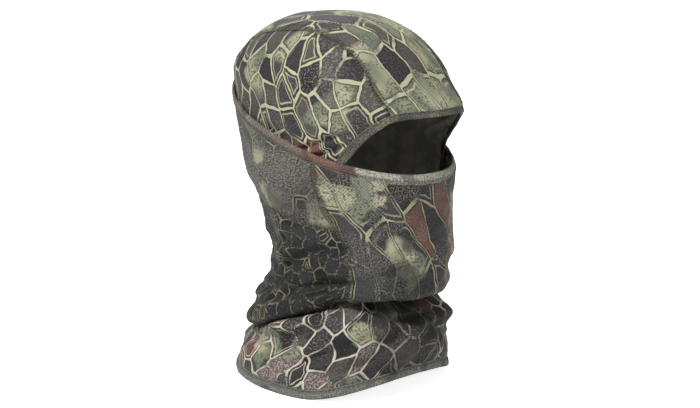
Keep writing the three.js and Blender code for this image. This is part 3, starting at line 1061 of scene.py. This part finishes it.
def camo(name, cell, turn, fills, seed, line=1.15, cord=CORD, fade=0.36, zone=0.60, zone_size=48, stipple=0.35,
         grain=0.6, knit=jersey, knit_shade=0.22, depth=0.16, deep=0.0, washes=(), shells=(), shade_spots=()):
    """A generic net print. Pale cords with dark edges bound the cells, which take their dye from fills, and
    whole zones turn sage and khaki or wear down to a stipple.

    cell is a cell's width and height in mm, turned by turn degrees. washes, shells and the places of painted shade
    are (u, v, radius) of places in the cloth that are khaki, that have pale speckled cells, or that get painted
    shade: darker, with fainter cords.
    """
    g = Graph(name)
    at, u, v = cloth_axes(g)
    wide, tall = cell
    size = min(cell)
    shift = (seed * 7.3, seed * 3.1, 0.0)
    big = g.noise(at, 2.2 * size, 1.0, seed, 1)
    small = g.noise(at, 4.5, 2.0, seed + 1, 1)
    bent = g.vector("ADD", at, g.vector("MULTIPLY", big, (0.55 * size, 0.55 * size, 0.0)))
    bent = g.vector("ADD", bent, g.vector("MULTIPLY", small, (0.9, 0.9, 0.0)))
    turned = g.node("ShaderNodeVectorRotate", {"Vector": bent, "Angle": math.radians(turn)},
                    rotation_type="Z_AXIS").outputs[0]
    grid = g.vector("ADD", g.vector("MULTIPLY", turned, (1 / wide, 1 / tall, 0.0)), shift)
    look = {"Vector": grid, "Scale": 1.0, "Randomness": 0.78}
    cells = g.node("ShaderNodeTexVoronoi", look, voronoi_dimensions="2D")
    pick = g.node("ShaderNodeSeparateColor", {0: cells.outputs["Color"]})
    edge = g.node("ShaderNodeTexVoronoi", look, voronoi_dimensions="2D", feature="DISTANCE_TO_EDGE")
    away = g.times(edge.outputs["Distance"], size * 1.15)

    def distance(a, b):
        return g.node("ShaderNodeVectorMath", {0: a, 1: b}, operation="DISTANCE").outputs["Value"]

    def around(places):
        """1 near the places and 0 away from them, with a ragged border."""
        total = 0.0
        ragged = g.scaled(g.noise(at, 12.0, 2.0, seed + 12), 1.2, -0.6)
        for pu, pv, radius in places:
            share = g.math("ADD", g.math("DIVIDE", distance(at, (pu, pv, 0.0)), radius), ragged)
            total = g.math("MAXIMUM", total, g.rise(share, 1.12, 0.88))
        return total

    # Painted shade: places where shade falls on the cloth, darkened towards DEEP, with their cords faded.
    painted_shade = around(shade_spots)

    # Each cell's dye, darker towards its edge, with grains of a paler dye in it.
    fill = g.bands(pick.outputs[0], fills)
    speckled = g.mix(g.patches(at, 1.4, 3.0, seed + 13, 0.44, 0.58), SHELL, BARK)
    cos, sin = math.cos(math.radians(turn)), math.sin(math.radians(turn))
    drift = 0.28 * size + 0.45  # how far the bends move the print, on average
    for pu, pv, radius in shells:
        mu, mv = pu + drift, pv + drift
        middle = ((mu * cos - mv * sin) / wide + shift[0], (mu * sin + mv * cos) / tall + shift[1], 0.0)
        near = g.math("LESS_THAN", distance(cells.outputs["Position"], middle), radius / size)
        fill = g.mix(g.times(near, g.math("GREATER_THAN", pick.outputs[0], 0.35)), fill, speckled)
    middling = g.times(g.rise(away, 0.2, size * 0.34), g.scaled(cells.outputs["Distance"], 0.5, 0.5))
    fill = g.mix(middling, g.mix(0.45, fill, INK), fill)
    specks = g.patches(at, 1.5, 3.0, seed + 2, 0.50, 0.68)
    fill = g.mix(g.times(specks, g.times(pick.outputs[1], grain)), fill, SAND)

    # Zones of sage running into khaki, peppered with dark grains.
    patch = g.noise(at, zone_size, 1.5, seed + 3)
    in_zone = g.math("MAXIMUM", g.rise(patch, zone - 0.035, zone + 0.035), around(washes))
    wash = g.patches(at, zone_size * 0.55, 1.0, seed + 4, 0.40, 0.60)
    wash = g.mix(wash, SAGE, KHAKI)
    wash = g.mix(g.times(g.rise(away, 5.0, 0.5), 0.22), wash, MOSS)
    fill = g.mix(g.times(in_zone, g.rise(pick.outputs[2], 0.22, 0.30)), fill, wash)
    pale = g.rise(g.node("ShaderNodeRGBToBW", {0: fill}).outputs[0], 0.10, 0.24)
    pepper = g.patches(at, 1.9, 3.0, seed + 10, 0.50, 0.60)
    where = g.patches(at, 17.0, 1.0, seed + 11, 0.32, 0.50)
    fill = g.mix(g.times(g.times(pale, pepper), where), fill, g.mix(0.7, fill, INK))

    # Cords with dark edges. They vary in width, double in places, and wear down to dots in others.
    half = g.scaled(g.noise(at, 9.0, 1.0, seed + 5), line * 1.1, line * 0.05)
    beside = g.math("SUBTRACT", away, half)
    rim = g.rise(beside, 0.95, 0.25)
    body = g.rise(beside, 0.22, -0.1)
    sharp = g.patches(at, 26.0, 1.5, seed + 6, fade - 0.05, fade + 0.07)
    # The cords fade under the painted shade.
    sharp = g.times(sharp, g.scaled(painted_shade, -0.55, 1.0))
    dots = g.patches(at, 1.7, 2.0, seed + 7, 0.47, 0.58)
    kept = g.math("MAXIMUM", sharp, g.times(dots, 0.7))
    second = g.math("ABSOLUTE", g.math("SUBTRACT", beside, 2.0))
    second = g.times(g.rise(second, 0.55, 0.2), g.rise(pick.outputs[2], 0.66, 0.70))
    second = g.times(second, g.times(sharp, 0.8))
    color = g.mix(second, fill, cord)
    color = g.mix(g.times(rim, g.scaled(sharp, 0.55, 0.3)), color, INK)
    color = g.mix(g.times(body, kept), color, cord)

    # Where the cords wear out, a salt-and-pepper stipple takes over.
    salt = g.patches(at, 1.25, 2.0, seed + 8, 0.46, 0.62)
    worn = g.inverse(g.times(sharp, 0.75))
    color = g.mix(g.times(salt, g.times(worn, stipple)), color, SALT)
    old = g.patches(at, 90.0, 2.0, seed + 9, 0.62, 0.35)
    color = g.mix(old, color, g.mix(0.22, color, WORN))

    height = knit(g, u, v)
    # Painted shade in the gaps of the knit and in the birdseye's pinholes.
    color = g.paint_gap_shade(color, height, knit_shade, GAP_SHADE)
    # The whole piece is darkened towards DEEP by the share deep, and more under the painted shade.
    return g.finish(g.mix(g.scaled(painted_shade, 0.4, deep), color, DEEP), height, depth)


def folded_tape(name, pale, deep, seed, front=None):
    """A jersey binding, stippled, with painted shade at its folded edge, in the stitched ditch and in the gaps of
    its knit. front is another pair of dyes that takes over towards the face."""
    g = Graph(name)
    at, u, v = cloth_axes(g)
    salt = g.patches(at, 1.3, 3.0, seed, 0.36, 0.66)
    color = g.mix(salt, deep, pale)
    if front:
        place = g.node("ShaderNodeTexCoord").outputs["Object"]
        y = g.node("ShaderNodeSeparateXYZ", {0: place}).outputs[1]
        y = g.scaled(g.noise(at, 14.0, 1.0, seed + 1), 0.02, y)
        other = g.mix(salt, *front[::-1])
        behind = g.times(g.rise(y, -0.018, -0.012), 0.55)
        color = g.mix(behind, color, g.mix(0.45, other, INK))
        color = g.mix(g.rise(y, -0.057, -0.061), color, other)
    patch = g.patches(at, 20.0, 1.5, seed + 2, 0.58, 0.66)
    color = g.mix(g.times(patch, 0.55), color, g.mix(salt, MOSS, KHAKI))
    blot = g.patches(at, 26.0, 1.5, seed + 3, 0.58, 0.68)
    color = g.mix(g.times(blot, 0.5), color, CHARCOAL)
    # Painted shade in the stitched ditch and at the folded edge.
    across = g.math("ABSOLUTE", v)
    ditch = g.inverse(g.math("MINIMUM", g.math("ABSOLUTE", g.math("SUBTRACT", across, DITCH)), 1.0))
    low = g.math("MAXIMUM", ditch, g.rise(across, 1.2, 0.0))
    color = g.mix(g.times(low, 0.3), color, INK)
    height = jersey(g, u, v, 1.0, 0.8)
    # Painted shade in the gaps of the knit.
    color = g.paint_gap_shade(color, height, 0.3, dye(22, 22, 22))
    return g.finish(color, height, 0.2)


def reverse_side(name):
    """The inside of the cloth, where the print shows through faintly."""
    g = Graph(name)
    at, u, v = cloth_axes(g)
    ghost = g.patches(at, 16.0, 2.0, 3.0, 0.40, 0.62)
    color = g.mix(ghost, dye(188, 186, 176), dye(214, 212, 202))
    height = jersey(g, v, u)
    # Painted shade in the gaps of the knit.
    color = g.paint_gap_shade(color, height, 0.35, dye(110, 110, 104))
    return g.finish(color, height, 0.16)


def raw_edge(name):
    """A cut edge, overlocked with dark thread, with painted shade between its strands."""
    g = Graph(name)
    at, u, v = cloth_axes(g)
    strand = waves(g, g.math("ADD", u, v), 0.9)
    color = g.mix(g.patches(at, 6.0, 2.0, 8.0, 0.35, 0.65), dye(38, 38, 35), dye(56, 55, 50))
    # Painted shade between the strands.
    color = g.paint_gap_shade(color, strand, 0.4, INK)
    return g.finish(color, strand, 0.1)


def sewing_thread(name):
    """Plied thread: its twist shows as slanting dark lines of painted shade in the grooves between its plies."""
    g = Graph(name)
    at, u, v = cloth_axes(g)
    twist = waves(g, u, 0.9, g.times(v, 2.0))
    tone = g.patches(at, 9.0, 2.0, 5.0, 0.35, 0.65)
    color = g.mix(tone, dye(98, 98, 86), dye(136, 134, 116))
    # Painted shade in the grooves of the twist.
    color = g.paint_gap_shade(color, twist, 0.4, INK)
    return g.finish(color, twist, 0.08, (0.6, 0.8), 0.05)


DARKS = (CHARCOAL, SLATE, BARK, CHARCOAL, INK)
MATERIALS = {
    "cap_side": camo("print_cap_side", (14, 25), 22, (*DARKS, BARK, CHARCOAL, SLATE, RUST), 1.0, 1.2, fade=0.34,
                     zone=0.62, grain=0.7, deep=0.12),
    "cap_top": camo("print_cap_top", (15, 36), -14, (*DARKS, SAGE, CHARCOAL, BARK), 4.0, 1.2, fade=0.40,
                    zone=0.53, zone_size=60, grain=0.5),
    "ear": camo("print_ear_band", (18, 26), 18, (dye(80, 79, 70), BARK, CHARCOAL, SLATE), 7.0, 0.7,
                dye(168, 168, 136), fade=0.58, zone=0.64, stipple=0.75, deep=0.26,
                washes=((-136, 194, 12), (-128, 161, 11), (140, 176, 14))),
    "neck": camo("print_neck", (8.5, 11), 12, (INK, INK, CHARCOAL, INK, CHARCOAL), 10.0, 0.75, dye(166, 166, 130),
                 fade=0.54, zone=0.80, stipple=0.10, grain=0.12, deep=0.42),
    "face": camo("print_face", (16, 40), -32, (CHARCOAL, SLATE, CHARCOAL, INK, RUST, SLATE, CHARCOAL), 13.0, 0.85,
                 dye(172, 172, 138), fade=0.48, zone=0.62, stipple=0.5, grain=0.25, knit=birdseye, knit_shade=0.5,
                 depth=0.25, deep=0.12, washes=((-66, 171, 21), (-44, 184, 10), (36, 150, 13)),
                 # Painted shade at the face panel's lower edge, under the chin.
                 shade_spots=((-30, 100, 20),)),
    "skirt": camo("print_skirt", (15, 21), 34, (*DARKS, INK, CHARCOAL, BARK, CHARCOAL, INK, RUST), 16.0, 1.15,
                  CREAM, fade=0.42, zone=0.66, grain=0.5, deep=0.14,
                  washes=((-130, 37, 14), (-53, 60, 10), (70, 40, 12)),
                  shells=((-68, 24, 16), (-122, 16, 14), (60, 20, 14)),
                  # Painted shade in the slot under the chin and low on the skirt.
                  shade_spots=((-8, 40, 26), (0, 80, 40), (150, 40, 30))),
    "brow_tape": folded_tape("tape_brow", dye(130, 129, 117), dye(72, 71, 66), 1.0),
    "hem_tape": folded_tape("tape_mask_edge", dye(140, 104, 92), dye(98, 76, 68), 2.0,
                            (dye(198, 198, 182), dye(114, 115, 104))),
    "base_tape": folded_tape("tape_bottom", dye(146, 146, 138), dye(90, 90, 86), 3.0),
    "reverse": reverse_side("cloth_reverse"),
    "raw_edge": raw_edge("cloth_cut_edge"),
    "thread": sewing_thread("sewing_thread"),
}

# ---------------------------------------------------------------- riding on the frame

LINING = ("reverse", "raw_edge")  # the finishes of a sheet's back and of its cut edge


def dress(thing, node, finishes, moves):
    """Gives a piece its finishes and hides its CAD node. A moves of mask or brow leaves the piece where it is; any
    other moves names a body for it to ride on.
    """
    slots = thing.data.materials
    while len(slots) < len(finishes):
        slots.append(None)
    for k, finish in enumerate(finishes):
        slots[k] = MATERIALS[finish]
    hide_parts(node)
    if moves == "mask":
        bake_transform(thing)
    elif moves == "brow":
        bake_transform(thing)
    else:
        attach(thing, moves)


dress(face_panel, "face_panel", ["face", *LINING], "mask")
for thing, node in upper:
    dress(thing, node, ["ear" if node.startswith("ear") else "neck", *LINING], "mask")
dress(skirt, "neck_skirt", ["skirt", *LINING], "hood")
dress(crown_center, "crown_center_panel", ["cap_top", *LINING], "brow")
for thing, node in crown_sides:
    dress(thing, node, ["cap_side", *LINING], "brow")
dress(mask_hem, "mask_hem", ["hem_tape"], "mask_edge")
dress(base_binding, "bottom_binding", ["base_tape"], "hood")
dress(brow_binding, "brow_binding", ["brow_tape"], "brow")
for thing, node in cheeks:
    dress(thing, node, ["brow_tape"], "brow")
THREAD_MOVES = {"mask": "mask_edge", "brow": "brow", "crown": "brow", "face": "mask", "band": "mask", "back": "mask"}
for thing, node in threads:
    dress(thing, node, ["thread"], THREAD_MOVES.get(node.split("_")[0], "hood"))

# ---------------------------------------------------------------- stage, light and camera

floor_mesh = bpy.data.meshes.new("floor")
FLOOR_REACH = 4.0
floor_mesh.from_pydata([(x * FLOOR_REACH, y * FLOOR_REACH, 0) for x, y in ((-1, -1), (1, -1), (1, 1), (-1, 1))], [],
                       [(0, 1, 2, 3)])
floor = bpy.data.objects.new("floor", floor_mesh)
bpy.context.scene.collection.objects.link(floor)
ground = Graph("floor")
FLOOR_WHITE = (0.92, 0.92, 0.92, 1.0)
seen = ground.node("ShaderNodeLightPath").outputs["Is Camera Ray"]
for key, value in (("Base Color", FLOOR_WHITE), ("Roughness", 1.0), ("Specular IOR Level", 0.0),
                   ("Emission Color", FLOOR_WHITE), ("Emission Strength", ground.math("MULTIPLY", seen, 0.9))):
    ground.put(ground.shader.inputs[key], value)
floor_mesh.materials.append(ground.material)

LIT_POINT = Vector((0, 0, 0.15))


def area_light(name, place, size, power):
    data = bpy.data.lights.new(name, "AREA")
    data.shape = "DISK"
    data.size = size
    data.energy = power
    lamp = bpy.data.objects.new(name, data)
    lamp.location = place
    lamp.rotation_euler = (LIT_POINT - Vector(place)).to_track_quat("-Z", "Y").to_euler()
    bpy.context.scene.collection.objects.link(lamp)


area_light("key", (-1.25, -0.25, 1.75), 0.45, 46)
area_light("fill", (0.45, -2.0, 1.0), 0.8, 7)
area_light("back", (0.9, 1.4, 1.4), 1.0, 8)

world = bpy.data.worlds.new("studio")
bpy.context.scene.world = world
world.use_nodes = True
sky = world.node_tree.nodes["Background"]
sky.inputs["Color"].default_value = (1, 1, 1, 1)
rays = world.node_tree.nodes.new("ShaderNodeLightPath")
bright = world.node_tree.nodes.new("ShaderNodeMapRange")
bright.inputs["To Min"].default_value = 0.30  # what lights the object
bright.inputs["To Max"].default_value = 1.0  # what the camera sees behind it
world.node_tree.links.new(rays.outputs["Is Camera Ray"], bright.inputs["Value"])
world.node_tree.links.new(bright.outputs[0], sky.inputs["Strength"])
bpy.context.scene.view_settings.view_transform = "Standard"

CAMERA_TURN = math.radians(-42)
CAMERA_REACH, CAMERA_HEIGHT = 1.174, 0.380
LOOK_AT = Vector((0, CENTRING * MM, 0.140))
PICTURE_WIDTH, FOCAL_PIXELS, SHIFT_PIXELS = 700, 1480, 3
camera_data = bpy.data.cameras.new("camera")
camera_data.sensor_width = 36
camera_data.lens = FOCAL_PIXELS / PICTURE_WIDTH * 36
camera_data.shift_x = SHIFT_PIXELS / PICTURE_WIDTH
camera = bpy.data.objects.new("camera", camera_data)
camera.location = (math.sin(CAMERA_TURN) * CAMERA_REACH, -math.cos(CAMERA_TURN) * CAMERA_REACH + LOOK_AT.y,
                   CAMERA_HEIGHT)
camera.rotation_euler = (LOOK_AT - camera.location).to_track_quat("-Z", "Y").to_euler()
bpy.context.scene.collection.objects.link(camera)
bpy.context.scene.camera = camera
